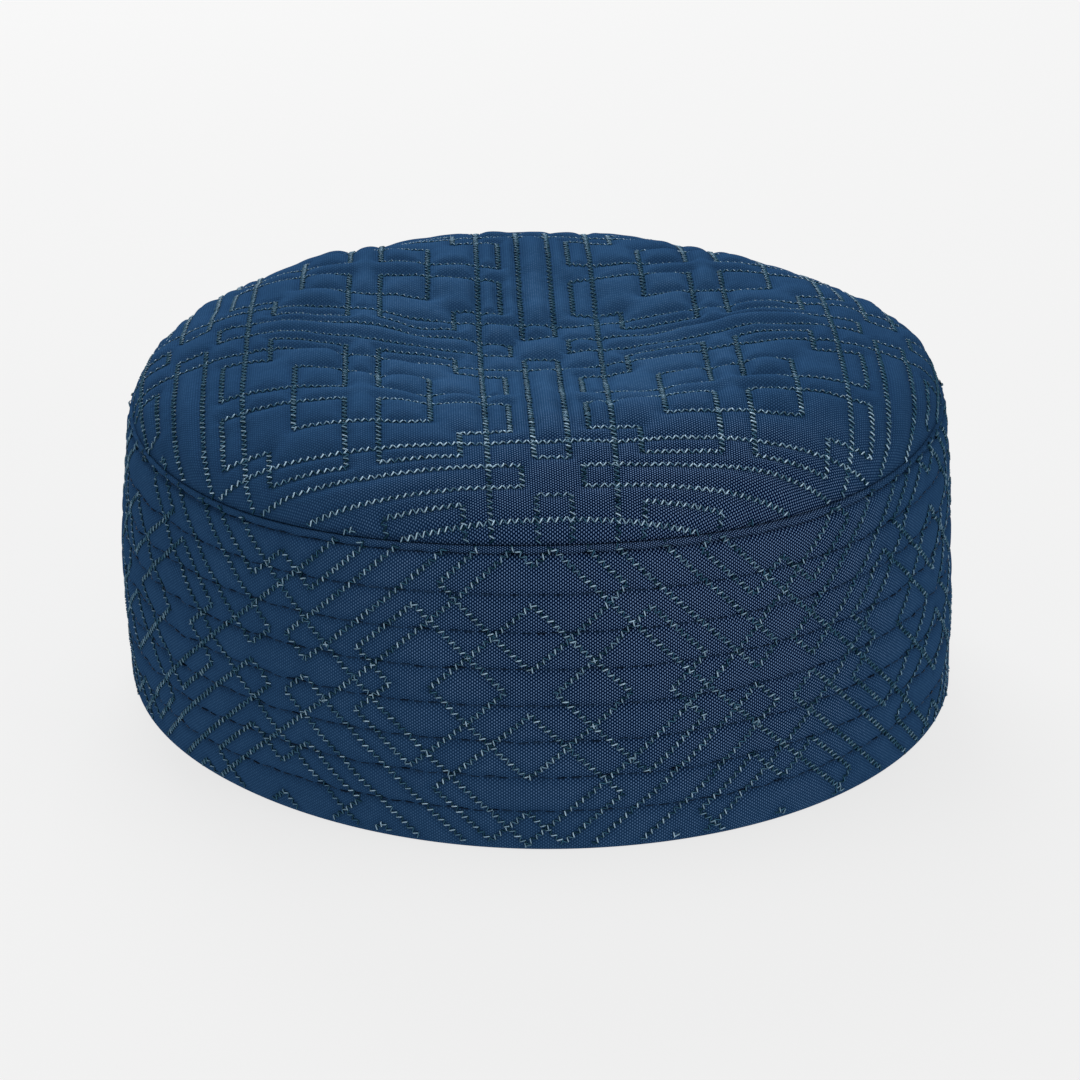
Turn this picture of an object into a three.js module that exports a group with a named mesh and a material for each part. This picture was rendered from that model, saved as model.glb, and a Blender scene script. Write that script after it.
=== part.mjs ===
// Prayer cap: a round, flat-topped cap of quilted cloth that stands on its own rim.
// It is two sewn panels: an upright band and a dished crown that meets it at a seam.
// Millimetres, +Z up, the front towards -Y, the origin at the middle of the rim's underside.

import * as THREE from 'three';
import { mergeVertices } from 'three/addons/utils/BufferGeometryUtils.js';

// Driving dimensions
const WALL = 2.7; // quilted cloth: face, wadding and backing
const SEAM_GAP = 0.3; // clear height between the band's upper edge and the crown's edge
const FRONT_SEAM_HEIGHT = 67.8; // the heights along the band are given for this height
const TURN_STEPS = 60; // sections around the cap

// The hand-made outline, one row for each eighth of a turn, counter-clockwise seen from above.
// Radii are of the outer face: at the rim, half way up the band and at the seam. Heights are of
// the seam and of the crown's raised ring. A higher shoulder value makes a squarer shoulder.
const COMPASS = [
  { side: 'right', rim: 94.4, belly: 94.6, seam: 90.6, seamHeight: 67.4, ringHeight: 83.9, shoulder: 9.2 },
  { side: 'back right', rim: 93.0, belly: 94.6, seam: 92.1, seamHeight: 66.0, ringHeight: 81.7, shoulder: 7.8 },
  { side: 'back', rim: 93.1, belly: 94.2, seam: 91.8, seamHeight: 66.8, ringHeight: 81.1, shoulder: 9.1 },
  { side: 'back left', rim: 93.7, belly: 94.1, seam: 91.7, seamHeight: 66.8, ringHeight: 82.6, shoulder: 7.2 },
  { side: 'left', rim: 91.8, belly: 95.0, seam: 90.3, seamHeight: 65.3, ringHeight: 84.0, shoulder: 7.1 },
  { side: 'front left', rim: 90.0, belly: 94.5, seam: 90.8, seamHeight: 64.4, ringHeight: 82.2, shoulder: 8.4 },
  { side: 'front', rim: 93.1, belly: 94.2, seam: 90.6, seamHeight: 67.8, ringHeight: 81.4, shoulder: 7.8 },
  { side: 'front right', rim: 94.4, belly: 94.3, seam: 89.9, seamHeight: 66.5, ringHeight: 83.3, shoulder: 10.3 },
];

// The crown's shallow dish
const DISH_RADIUS = 60; // the dish runs from the raised ring down to the middle
const DISH_HEIGHT = 76.4; // height of the crown's middle
const CROWN_STEPS = 14; // from the middle out to the seam, closer together at the shoulder

// Rows of stitching that press the band into flat ribs
const ROW_COUNT = 8; // the top row is the topstitch under the seam
const FIRST_ROW = 9.2;
const ROW_PITCH = 8.05;
const ROW_DEPTH = 0.15; // how far a row is drawn in
const RIB_RISE = 0.35; // how far a rib stands out between two rows
const RIB_SHOULDERS = [0.3, 0.7]; // where a rib is full, in shares of the pitch

// The folded hem at the rim and the turned edge at the seam
const HEM_ROUND = 0.9; // radius of the hem's outer edge
const HEM_INNER_ROUND = 0.5;
const LIP_DROP = 1.1; // the ridge between topstitch and seam, below the seam
const LIP_TUCK = 0.35; // the band's upper edge lies this far inside the seam line

const MATERIALS = {
  band: new THREE.MeshStandardMaterial({ color: 0x1f4468, roughness: 0.62, metalness: 0 }),
  crown: new THREE.MeshStandardMaterial({ color: 0x24507a, roughness: 0.62, metalness: 0 }),
};

// Smooth value of one column of the compass table at an angle in radians
function around(column, angle) {
  const place = THREE.MathUtils.euclideanModulo(angle / (2 * Math.PI), 1) * COMPASS.length;
  const first = Math.floor(place);
  const share = place - first;
  const [before, start, end, after] = [-1, 0, 1, 2].map(
    (step) => COMPASS[(first + step + COMPASS.length) % COMPASS.length][column],
  );
  const slopeIn = (end - before) / 2;
  const slopeOut = (after - start) / 2;
  const bend = 3 * (end - start) - 2 * slopeIn - slopeOut;
  const twist = 2 * (start - end) + slopeIn + slopeOut;
  return start + share * (slopeIn + share * (bend + share * twist));
}

// Radius of the band's outer face: a smooth curve through rim, belly and seam
function bandRadius(angle, heightShare) {
  const rim = around('rim', angle);
  const belly = around('belly', angle);
  const seam = around('seam', angle);
  const t = heightShare;
  return rim * (2 * t - 1) * (t - 1) + belly * 4 * t * (1 - t) + seam * t * (2 * t - 1);
}

// A point of the crown at a share of the way out from the middle, on a face set in by some depth
function crownPoint(angle, outShare, depth) {
  const radius = outShare * (around('seam', angle) - depth);
  const edge = around('seamHeight', angle);
  const rise = around('ringHeight', angle) - depth - edge;
  const dome = edge + rise * (1 - outShare ** around('shoulder', angle));
  const dish = Math.max(1 - (radius / DISH_RADIUS) ** 2, 0) ** 2;
  return { radius, height: THREE.MathUtils.lerp(dome, DISH_HEIGHT - depth, dish) };
}

// Turns a section about the upright axis, then moves each point to its place in the hand-made
// outline. The section's first number is kept above zero so that every point keeps its angle.
function turnedPanel(section, place) {
  const geometry = new THREE.LatheGeometry(section, TURN_STEPS).rotateX(Math.PI / 2);
  const points = geometry.getAttribute('position');
  const stepAngle = (2 * Math.PI) / TURN_STEPS;
  for (let i = 0; i < points.count; i += 1) {
    const { x: across, y: up } = section[i % section.length];
    const turn = Math.floor(i / section.length) % TURN_STEPS;
    const angle = turn * stepAngle - Math.PI / 2;
    const { radius, height } = place(angle, across, up);
    points.setXYZ(i, radius * Math.cos(angle), radius * Math.sin(angle), height);
  }
  geometry.deleteAttribute('normal');
  geometry.deleteAttribute('uv');
  const closed = mergeVertices(geometry);
  closed.computeVertexNormals();
  return closed;
}

// The band's closed section: across is the distance from the outer face, up is the height
function bandSection() {
  const section = [new THREE.Vector2(-HEM_ROUND, 0)];
  section.push(new THREE.Vector2(-HEM_ROUND * (1 - Math.SQRT1_2), HEM_ROUND * (1 - Math.SQRT1_2)));
  section.push(new THREE.Vector2(0, HEM_ROUND));
  section.push(new THREE.Vector2(RIB_RISE, FIRST_ROW / 2));
  for (let row = 0; row < ROW_COUNT; row += 1) {
    const rowHeight = FIRST_ROW + row * ROW_PITCH;
    section.push(new THREE.Vector2(-ROW_DEPTH, rowHeight));
    if (row < ROW_COUNT - 1) {
      for (const share of RIB_SHOULDERS) {
        section.push(new THREE.Vector2(RIB_RISE, rowHeight + share * ROW_PITCH));
      }
    }
  }
  section.push(new THREE.Vector2(RIB_RISE, FRONT_SEAM_HEIGHT - LIP_DROP));
  section.push(new THREE.Vector2(-LIP_TUCK, FRONT_SEAM_HEIGHT));
  for (const share of [1, 0.75, 0.5, 0.25]) {
    section.push(new THREE.Vector2(-WALL, FRONT_SEAM_HEIGHT * share));
  }
  section.push(new THREE.Vector2(-WALL, HEM_INNER_ROUND));
  section.push(new THREE.Vector2(HEM_INNER_ROUND - WALL, 0));
  section.push(section[0].clone());
  return section;
}

function makeBand() {
  return turnedPanel(bandSection(), (angle, across, up) => {
    const heightShare = up / FRONT_SEAM_HEIGHT;
    return {
      radius: bandRadius(angle, heightShare) + across,
      height: heightShare * (around('seamHeight', angle) - SEAM_GAP),
    };
  });
}

// The crown's section: across is the share of the way out, up is minus the depth of the face
function crownSection() {
  const outShares = Array.from({ length: CROWN_STEPS + 1 }, (_, step) => {
    return Math.sin((step / CROWN_STEPS) * (Math.PI / 2));
  });
  const underside = outShares.map((share) => new THREE.Vector2(share, -WALL));
  const face = outShares.map((share) => new THREE.Vector2(share, 0)).reverse();
  return [...underside, ...face];
}

function makeCrown() {
  return turnedPanel(crownSection(), (angle, across, up) => crownPoint(angle, across, -up));
}

// Assembly
const cap = new THREE.Group();
cap.name = 'prayer_cap';

const band = new THREE.Mesh(makeBand(), MATERIALS.band);
band.name = 'band';
cap.add(band);

const crown = new THREE.Mesh(makeCrown(), MATERIALS.crown);
crown.name = 'crown';
cap.add(crown);

export default cap;
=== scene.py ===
# %% [markdown]
# # A quilted prayer cap
# The cap is a round, flat-topped cap of wadded navy cloth. It has two sewn panels: a band that
# stands up from the rim, and a dished crown. Fret embroidery quilts both, and plain rows of
# stitching press the band into flat ribs. The imported frame gives the place and size of both
# panels, and this lesson dresses them: fine quilted cloth, the stitches, and the weave.
# The frame comes first.

# %% Load the frame
import math

import bmesh
import bpy
import numpy as np
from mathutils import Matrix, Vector


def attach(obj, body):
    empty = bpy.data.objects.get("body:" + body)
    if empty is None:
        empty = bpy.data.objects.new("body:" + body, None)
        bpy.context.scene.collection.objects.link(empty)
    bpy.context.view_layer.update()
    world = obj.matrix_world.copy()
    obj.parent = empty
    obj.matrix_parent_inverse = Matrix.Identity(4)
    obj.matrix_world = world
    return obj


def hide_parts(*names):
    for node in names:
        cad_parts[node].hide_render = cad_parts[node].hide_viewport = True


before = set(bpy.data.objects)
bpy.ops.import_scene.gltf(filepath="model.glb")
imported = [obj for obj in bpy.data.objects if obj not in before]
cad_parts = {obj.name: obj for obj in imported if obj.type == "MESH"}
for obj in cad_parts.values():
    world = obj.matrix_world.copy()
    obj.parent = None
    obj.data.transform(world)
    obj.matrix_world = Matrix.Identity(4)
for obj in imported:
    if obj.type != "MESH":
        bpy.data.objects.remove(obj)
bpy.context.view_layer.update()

MM = 0.001  # the sizes below are written in millimetres and turned into metres here

# %% [markdown]
# ## Camera, floor and light
# A soft cap is photographed from a little above, with a long lens, so that its rim and its crown
# both show as clean ellipses. The camera looks along +Y, 23.4 degrees down, from 850 mm away.
# The light is a studio's: the table itself glows, as a lit table for product photos does, and a
# soft shadow of the cap is painted into that glow, a little in front of the cap. A broad lamp
# behind the cap draws a dark side on each puff of the crown, one overhead lights the crown, and a
# small one in front, to the right, adds glints. Two weak ones lighten the left: one low at the
# side, and one high in front.

# %% Camera
AIM = Vector((0.75, 0, 30)) * MM
DISTANCE = 850 * MM
ELEVATION = math.radians(23.39)
SENSOR = 36.0
FOCAL_IN_FRAMES = 3.4617  # focal length as a multiple of the picture's width

camera_data = bpy.data.cameras.new("camera")
camera_data.sensor_width = SENSOR
camera_data.sensor_fit = "HORIZONTAL"
camera_data.lens = SENSOR * FOCAL_IN_FRAMES
camera_data.clip_start, camera_data.clip_end = 0.05, 20
camera = bpy.data.objects.new("camera", camera_data)
bpy.context.scene.collection.objects.link(camera)
away = Vector((0, -math.cos(ELEVATION), math.sin(ELEVATION)))
camera.location = AIM + away * DISTANCE
camera.rotation_euler = away.to_track_quat("Z", "Y").to_euler()
bpy.context.scene.camera = camera
print("lens", round(camera_data.lens, 1), "mm")


# %% Nodes that the materials share
def maths(tree, operation, first, second=0.0):
    """A maths node; each input is a number or the output of another node."""
    node = tree.nodes.new("ShaderNodeMath")
    node.operation = operation
    for socket, value in zip(node.inputs, (first, second)):
        if isinstance(value, (int, float)):
            socket.default_value = value
        else:
            tree.links.new(value, socket)
    return node.outputs["Value"]


def vector_maths(tree, operation, first, second):
    """A maths node between a vector from another node and a fixed one; gives its outputs."""
    node = tree.nodes.new("ShaderNodeVectorMath")
    node.operation = operation
    node.inputs[1].default_value = second
    tree.links.new(first, node.inputs[0])
    return node.outputs


def object_place(tree):
    """The place of each point of an object, from its origin."""
    return tree.nodes.new("ShaderNodeTexCoord").outputs["Object"]


def map_range(tree, value, value_range, result_range, kind="SMOOTHSTEP"):
    """A change from one number to another while a value crosses a range."""
    node = tree.nodes.new("ShaderNodeMapRange")
    node.interpolation_type = kind
    tree.links.new(value, node.inputs["Value"])
    node.inputs["From Min"].default_value, node.inputs["From Max"].default_value = value_range
    node.inputs["To Min"].default_value, node.inputs["To Max"].default_value = result_range
    return node.outputs["Result"]


# %% Floor, lamps and room
TABLE_GLOW = 0.815
TABLE_PAPER = (0.065, 0.065, 0.065, 1)
PAINTED_SHADOW = 0.05  # how much the painted shadow of the cap lowers the glow
PAINTED_SHADOW_MIDDLE = (0.002, -0.045, 0)  # the painted shadow lies a little to the front, as most light comes from behind
PAINTED_SHADOW_REACH = (0.045, 0.1)  # metres from that middle over which the painted shadow ends
PAINTED_SHADOW_SQUASH = (0.6, 1, 1)  # it is wider from side to side than it is deep
PAINTED_SHADOW_FALL = 3  # the higher, the more of it lies near its middle
ROOM_GLOW = 0.285
FLOOR_HALF = 6  # metres from the middle of the floor to its edge

floor_mesh = bpy.data.meshes.new("floor")
bm = bmesh.new()
bmesh.ops.create_grid(bm, x_segments=1, y_segments=1, size=FLOOR_HALF)
bm.to_mesh(floor_mesh)
bm.free()
floor = bpy.data.objects.new("floor", floor_mesh)
bpy.context.scene.collection.objects.link(floor)
paper = bpy.data.materials.new("paper")
paper.use_nodes = True
tree = paper.node_tree
paper_look = tree.nodes["Principled BSDF"].inputs
paper_look["Base Color"].default_value = TABLE_PAPER
paper_look["Roughness"].default_value = 1
paper_look["Specular IOR Level"].default_value = 0
paper_look["Emission Color"].default_value = (1, 1, 1, 1)
# A soft shadow of the cap is painted into the paper's glow: the glow is lowered near the cap.
squashed = vector_maths(tree, "MULTIPLY", object_place(tree), PAINTED_SHADOW_SQUASH)["Vector"]
distance = vector_maths(tree, "DISTANCE", squashed, PAINTED_SHADOW_MIDDLE)["Value"]
closeness = map_range(tree, distance, PAINTED_SHADOW_REACH, (1, 0), "LINEAR")
painted_shade = maths(tree, "MULTIPLY", maths(tree, "POWER", closeness, PAINTED_SHADOW_FALL), PAINTED_SHADOW)
tree.links.new(maths(tree, "SUBTRACT", TABLE_GLOW, painted_shade), paper_look["Emission Strength"])
floor_mesh.materials.append(paper)

world = bpy.data.worlds.new("room")
world.use_nodes = True
world.node_tree.nodes["Background"].inputs["Color"].default_value = (1, 1, 1, 1)
world.node_tree.nodes["Background"].inputs["Strength"].default_value = ROOM_GLOW
bpy.context.scene.world = world
bpy.context.scene.view_settings.view_transform = "Standard"


def softbox(name, place, size, watts):
    """A square lamp that faces the cap; its place and size are in metres."""
    data = bpy.data.lights.new(name, "AREA")
    data.size = size
    data.energy = watts
    lamp = bpy.data.objects.new(name, data)
    lamp.location = place
    lamp.rotation_euler = Vector(place).to_track_quat("Z", "Y").to_euler()
    bpy.context.scene.collection.objects.link(lamp)


softbox("top_lamp", (0.1, -0.35, 1.3), 0.7, 3.8)
softbox("back_lamp", (-0.25, 1.15, 0.75), 0.7, 20)
softbox("glint_lamp", (0.95, -0.75, 0.65), 0.35, 3.5)
softbox("side_lamp", (-1.3, 0.3, 0.3), 0.7, 2)
softbox("front_lamp", (-0.6, -0.8, 1.2), 0.7, 2)
print("lamps:", [light.name for light in bpy.data.lights])

# %% [markdown]
# ## The cap's outline
# No hand-sewn cap is a true circle. A table like the one that shapes the frame's panels is used
# here, with a column for each eighth of a turn, counter-clockwise from the right: three radii of
# the band's face, the height of the seam, and the height and squareness of the crown's raised
# ring. Some values are up to 1.5 mm from the frame's, because here the quilting lies on top of
# them and the seam has its groove. A smooth curve runs through the eight values of each row, so
# that any point of either panel can be found.

# %% Compass table and smooth values between its columns
COMPASS = {
    #           right, back right, back, back left, left, front left, front, front right
    "rim": np.array([94.4, 93.0, 93.1, 93.7, 92.3, 90.9, 93.1, 94.4]) * MM,
    "belly": np.array([93.6, 94.2, 94.2, 93.7, 93.5, 94.0, 94.2, 93.9]) * MM,
    "seam": np.array([90.9, 91.8, 91.8, 91.7, 90.8, 90.8, 90.6, 89.9]) * MM,
    "seam_height": np.array([67.7, 66.3, 67.1, 67.1, 65.6, 65.7, 68.4, 66.8]) * MM,
    "ring_height": np.array([83.4, 82.4, 81.8, 83.2, 83.5, 82.2, 81.4, 83.1]) * MM,
    "shoulder": np.array([9.2, 7.8, 9.1, 7.2, 7.1, 8.4, 7.8, 10.3]),
}
WALL = 2.7 * MM
STRIP_HEIGHT = 67.8 * MM  # of the band's strip as it is cut
SEAM_GAP = 0.3 * MM
DISH_RADIUS = 60 * MM
DISH_HEIGHT = 76.4 * MM
TURN = 2 * math.pi


def around(row, angle):
    """Smooth value of one row of the compass table at each angle."""
    values = COMPASS[row]
    place = angle / TURN % 1 * len(values)
    first = np.floor(place).astype(int)
    share = place - first
    before, start, end, after = (values[(first + step) % len(values)] for step in (-1, 0, 1, 2))
    slope_in = (end - before) / 2
    slope_out = (after - start) / 2
    bend = 3 * (end - start) - 2 * slope_in - slope_out
    twist = 2 * (start - end) + slope_in + slope_out
    return start + share * (slope_in + share * (bend + share * twist))


def at_angle(radius, angle, height):
    """Points from a radius, an angle and a height."""
    return np.stack([radius * np.cos(angle), radius * np.sin(angle), height + 0 * radius], -1)


def band_point(angle, up, out=0.0):
    """A point of the band's face; up is its height on the flat strip."""
    t = up / STRIP_HEIGHT
    rim, belly, seam = (around(name, angle) for name in ("rim", "belly", "seam"))
    radius = rim * (2 * t - 1) * (t - 1) + belly * 4 * t * (1 - t) + seam * t * (2 * t - 1)
    return at_angle(radius + out, angle, t * (around("seam_height", angle) - SEAM_GAP))


def crown_point(angle, share, depth=0.0):
    """A point of the crown at a share of the way out to the seam, set in by some depth."""
    radius = share * (around("seam", angle) - depth)
    edge = around("seam_height", angle)
    rise = around("ring_height", angle) - depth - edge
    dome = edge + rise * (1 - np.maximum(share, 0) ** around("shoulder", angle))
    dish = np.maximum(1 - (radius / DISH_RADIUS) ** 2, 0) ** 2
    return at_angle(radius, angle, dome + (DISH_HEIGHT - depth - dome) * dish)


print("front of the seam:", band_point(np.array([-TURN / 4]), np.array([STRIP_HEIGHT])))

# %% [markdown]
# ## Cloth laid over the crown
# The crown's stitching was sewn on flat cloth, and the cloth then wraps over the shoulder. So a
# place on the cloth is an angle and a length walked outwards over the crown, not a radius on the
# plan. A table of the length walked at each angle is made once and read backwards.

# %% From cloth to crown
SEAM_STEP = 299  # the step of the walk at which the seam is reached; a few more go past it
SHARES = np.append(
    np.sin(np.linspace(0, TURN / 4, SEAM_STEP + 1)), [1.01, 1.02, 1.03, 1.04],
)
ANGLES = np.linspace(0, TURN, 361)
WALKED = np.arange(0, 112, 0.25) * MM

tracks = crown_point(ANGLES[:, None] + 0 * SHARES, SHARES + 0 * ANGLES[:, None])
steps = np.linalg.norm(np.diff(tracks, axis=1), axis=-1)
lengths = np.concatenate([np.zeros((len(ANGLES), 1)), np.cumsum(steps, axis=1)], axis=1)
share_table = np.array([np.interp(WALKED, row, SHARES) for row in lengths])


def crown_share(angle, walked):
    """The share of the way out to the seam that a length of cloth reaches."""
    across = angle / TURN % 1 * (len(ANGLES) - 1)
    along = np.clip(walked / (WALKED[1] - WALKED[0]), 0, len(WALKED) - 1.001)
    i, j = across.astype(int), along.astype(int)
    u, v = across - i, along - j
    near = share_table[i, j] * (1 - v) + share_table[i, j + 1] * v
    far = share_table[i + 1, j] * (1 - v) + share_table[i + 1, j + 1] * v
    return near * (1 - u) + far * u


print("cloth from middle to seam:", np.round(lengths[::45, SEAM_STEP] / MM, 1), "mm")

# %% [markdown]
# ## The fret
# The embroidery is a common key fret: one square repeat, mirrored from its middle and across its
# diagonal, made of long double lines, slots between them, and a knot of five interlaced squares.
# Because of the mirrors, a quarter of the repeat is charted and the rest is folded from
# it. The same chart gives the distance to the nearest stitch, which quilts the cloth, and the
# lines that the stitches follow.

# %% Chart of the fret, in millimetres from the middle of the repeat
REPEAT = 78.6
HALF = REPEAT / 2
LINE = 13.2  # the long lines
SLOT, SLOT_END = 3.6, 6.4  # the slots along the middle of the long lines
KNOT = 24.7  # the knot's middle square
SQUARE_NEAR, SQUARE_NOTCH, SQUARE_FAR = 8.15, 18.8, 35.7  # its four notched squares

CHART = [
    [(LINE, 0), (LINE, HALF)],
    [(0, SLOT_END), (SLOT, SLOT_END), (SLOT, HALF)],
    [(KNOT, HALF), (KNOT, KNOT)],
    [(SQUARE_NOTCH, SQUARE_NOTCH), (SQUARE_NEAR, SQUARE_NOTCH), (SQUARE_NEAR, SQUARE_FAR)],
    [(SQUARE_NEAR, SQUARE_FAR), (SQUARE_FAR, SQUARE_FAR)],
]
HALF_CHART = [pair for line in CHART for pair in zip(line[:-1], line[1:])]
QUARTER = HALF_CHART + [((a[1], a[0]), (b[1], b[0])) for a, b in HALF_CHART]
MIRRORS = [(0, 1), (0, -1), (REPEAT, -1)]  # where each mirror puts a line: shift and sign
BLUR = 3.0  # the lower, the more the distances to several lines run into each other


def stitch_distance(p, q):
    """Soft distance in millimetres from places on the cloth to the lines of the fret around."""
    p, q = (HALF - np.abs(np.mod(np.abs(value), REPEAT) - HALF) for value in (p, q))
    total = np.zeros(p.shape)
    for (p0, q0), (p1, q1) in QUARTER:
        for (shift_p, sign_p), (shift_q, sign_q) in [(MIRRORS[0], m) for m in MIRRORS] + [
            (m, MIRRORS[0]) for m in MIRRORS[1:]
        ]:
            low_p, high_p = sorted((shift_p + sign_p * p0, shift_p + sign_p * p1))
            low_q, high_q = sorted((shift_q + sign_q * q0, shift_q + sign_q * q1))
            beside = np.maximum(np.maximum(low_p - p, p - high_p), 0)
            beyond = np.maximum(np.maximum(low_q - q, q - high_q), 0)
            total += (beside ** 2 + beyond ** 2 + 1e-6) ** (-BLUR / 2)
    return total ** (-1 / BLUR)


print("lines in a quarter:", len(QUARTER))
print("widest field:", stitch_distance(*np.mgrid[0:HALF:60j, 0:HALF:60j]).max())

# %% [markdown]
# ## How stitches quilt the cloth
# Wadding lifts the cloth between two lines of stitching and the thread holds it down along them,
# flat for the width of the stitch. So the face rises from each line along a soft curve: quickly
# at first, then level in the middle of a wide field. Slow, uneven ripples go on top, because the
# cloth shrinks a little when it is stitched. They are sums of waves with fixed random directions.

# %% Puffs and ripples
STITCH_HALF = 0.6  # millimetres to each side of a line that the thread holds flat
NORMAL_STEP = 0.5  # millimetres to each side of a point from which its normal is found


def puff(distance, height, softness):
    """Height of the quilted face at a distance in millimetres from the nearest stitch."""
    return height * (1 - np.exp(-np.maximum(distance - STITCH_HALF, 0) / softness))


def smooth(value):
    """A soft step from 0 to 1 as the value goes from 0 to 1."""
    value = np.clip(value, 0, 1)
    return value * value * (3 - 2 * value)


def ripples(seed, wavelength, count=14):
    """A function of two lengths that gives a slow, uneven wave between about -1 and 1."""
    chance = np.random.default_rng(seed)
    heading = chance.uniform(0, TURN, count)
    pace = TURN / (wavelength * chance.uniform(0.7, 1.6, count))
    start = chance.uniform(0, TURN, count)

    def wave(u, v):
        total = np.zeros(np.shape(u))
        for h, k, s in zip(heading, pace, start):
            total = total + np.sin(k * (u * math.cos(h) + v * math.sin(h)) + s)
        return total / math.sqrt(count / 2) / 1.6

    return wave


def normals_of(surface, u, v):
    """Outward normals of a surface that is given as a function of two lengths."""
    along_u = surface(u + NORMAL_STEP, v) - surface(u - NORMAL_STEP, v)
    along_v = surface(u, v + NORMAL_STEP) - surface(u, v - NORMAL_STEP)
    normal = np.cross(along_u, along_v)
    return normal / np.linalg.norm(normal, axis=-1, keepdims=True)


def smooth_object(name, mesh):
    """A smooth-shaded object made of a mesh."""
    mesh.name = name
    mesh.shade_smooth()
    piece = bpy.data.objects.new(name, mesh)
    bpy.context.scene.collection.objects.link(piece)
    return piece


print("puff in a wide field:", round(float(puff(5.5, 1.0, 2.0)), 2), "of its full height")

# %% [markdown]
# ## Crown
# The crown starts as a flat grid, as its cloth did. The grid lies along the fret, and its lines
# are moved so that one runs exactly along each line of stitching: creases then stay crisp with
# few faces. Faces past the seam are cut away, the ragged edge is drawn out to the seam, and the
# edge is extruded in for the turned seam and on round the inside, so that the panel is closed.

# %% The crown's cloth and its place
FRET_TURN = math.radians(1.95)  # the fret lies a little askew on the crown
FRET_MIDDLE = (0.7, 3.0)
FRET_STRETCH = 1.004
CROWN_PUFF = 3.4 * MM
CROWN_SOFTNESS = 3.0
CROWN_SUNK = 1.75 * MM  # the stitches lie this far under the smooth crown, away from its edge
SHOULDER_START, SHOULDER_WIDTH = 0.85, 0.12  # shares of the way out over which that ends
RING_START, RING_WIDTH = 0.5, 0.35  # shares of the way out over which the raised ring begins
RING_FLATNESS = 0.4  # the cloth is pulled tighter over the ring, so it puffs up less
DISH_START, DISH_WIDTH = 0.45, 0.4  # the dish is loose, and that ends over these shares
UNEVEN_PUFF = 0.3  # how much the height of the puffs comes and goes
CROWN_RIPPLE, CROWN_PUCKER, DISH_ROLL = 0.35, 0.1, 0.4  # loose cloth, in millimetres
SEAM_TAPER = 3 * MM  # the puffs die away over this length of cloth before the seam
SEAM_ROLL = 1.0 * MM  # and the cloth turns in by this much, which leaves a groove at the seam
crown_ripple = ripples(seed=11, wavelength=34)
crown_roll = ripples(seed=13, wavelength=15)
crown_pucker = ripples(seed=12, wavelength=7)


def crown_place(p, q):
    """Angle and length walked from the crown's middle, of a place on the fret in millimetres."""
    cos, sin = math.cos(FRET_TURN), math.sin(FRET_TURN)
    x = FRET_MIDDLE[0] + FRET_STRETCH * (p * cos - q * sin)
    y = FRET_MIDDLE[1] + FRET_STRETCH * (p * sin + q * cos)
    return np.arctan2(y, x), np.hypot(x, y) * MM


def seam_on_cloth(p, q):
    """The place on the fret where the seam runs, straight out from another place."""
    angle, walked = crown_place(p, q)
    reach = np.interp(angle % TURN, ANGLES, lengths[:, SEAM_STEP]) / walked
    cos, sin = math.cos(FRET_TURN), math.sin(FRET_TURN)
    x = (walked * math.cos(angle) * reach / MM - FRET_MIDDLE[0]) / FRET_STRETCH
    y = (walked * math.sin(angle) * reach / MM - FRET_MIDDLE[1]) / FRET_STRETCH
    return x * cos + y * sin, y * cos - x * sin


def crown_bare(p, q):
    """The smooth crown under a place on the fret."""
    angle, walked = crown_place(p, q)
    return crown_point(angle, crown_share(angle, walked))


def crown_relief(p, q):
    """How far the quilted face stands out from the bare crown."""
    angle, walked = crown_place(p, q)
    share = crown_share(angle, walked)
    ring = smooth((share - RING_START) / RING_WIDTH)
    height = CROWN_PUFF * (1 - RING_FLATNESS * ring) * (0.85 + UNEVEN_PUFF * crown_ripple(p, q))
    quilt = puff(stitch_distance(p, q), height, CROWN_SOFTNESS)
    sunk = CROWN_SUNK * (1 - smooth((share - SHOULDER_START) / SHOULDER_WIDTH))
    dish = 1 - smooth((share - DISH_START) / DISH_WIDTH)
    loose = CROWN_RIPPLE * crown_ripple(q + 40, p) + CROWN_PUCKER * crown_pucker(p, q)
    loose = (loose + DISH_ROLL * dish * crown_roll(p, q)) * MM
    to_seam = (1 - share) * COMPASS["seam"].mean()
    roll = SEAM_ROLL * np.exp(-(to_seam / (1.4 * SEAM_ROLL)) ** 2)
    return (quilt + loose - sunk) * smooth(to_seam / SEAM_TAPER) - roll


def crown_face(p, q):
    """The quilted crown at a place on the fret."""
    normal = normals_of(crown_bare, p, q)
    return crown_bare(p, q) + normal * crown_relief(p, q)[..., None]


# %% The grid, laid along the stitching
CLOTH_SPACING = 0.66  # millimetres between the lines of the grid, or a little more or less
CLOTH_REACH = 103.5  # millimetres from the middle of the grid to each side
CUT_SHARE = 0.9985  # a grid point that is farther out than this is past the seam

quarter_lines = [SLOT, SQUARE_NEAR, LINE, SQUARE_NOTCH, KNOT, SQUARE_FAR]
one_repeat = sorted([-v for v in quarter_lines] + quarter_lines)
stitch_lines = np.array([n * REPEAT + v for n in (-1, 0, 1) for v in one_repeat])
stitch_lines = stitch_lines[np.abs(stitch_lines) < CLOTH_REACH]

half_count = round(CLOTH_REACH / CLOTH_SPACING)
numbers = np.arange(-half_count, half_count + 1)
stops = np.append(np.append(-CLOTH_REACH, stitch_lines), CLOTH_REACH)
line_place = np.interp(numbers, np.round(stops / CLOTH_SPACING), stops)

bm = bmesh.new()
bmesh.ops.create_grid(bm, x_segments=2 * half_count, y_segments=2 * half_count, size=half_count)
for vert in bm.verts:
    vert.co.x = line_place[round(vert.co.x) + half_count]
    vert.co.y = line_place[round(vert.co.y) + half_count]
print("grid:", len(bm.verts), "vertices")

# %% Cut at the seam
bm.verts.index_update()
places = np.array([vert.co[:2] for vert in bm.verts])
inside = crown_share(*crown_place(places[:, 0], places[:, 1])) < CUT_SHARE
outside = [face for face in bm.faces if not all(inside[vert.index] for vert in face.verts)]
bmesh.ops.delete(bm, geom=outside, context="FACES")

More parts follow.
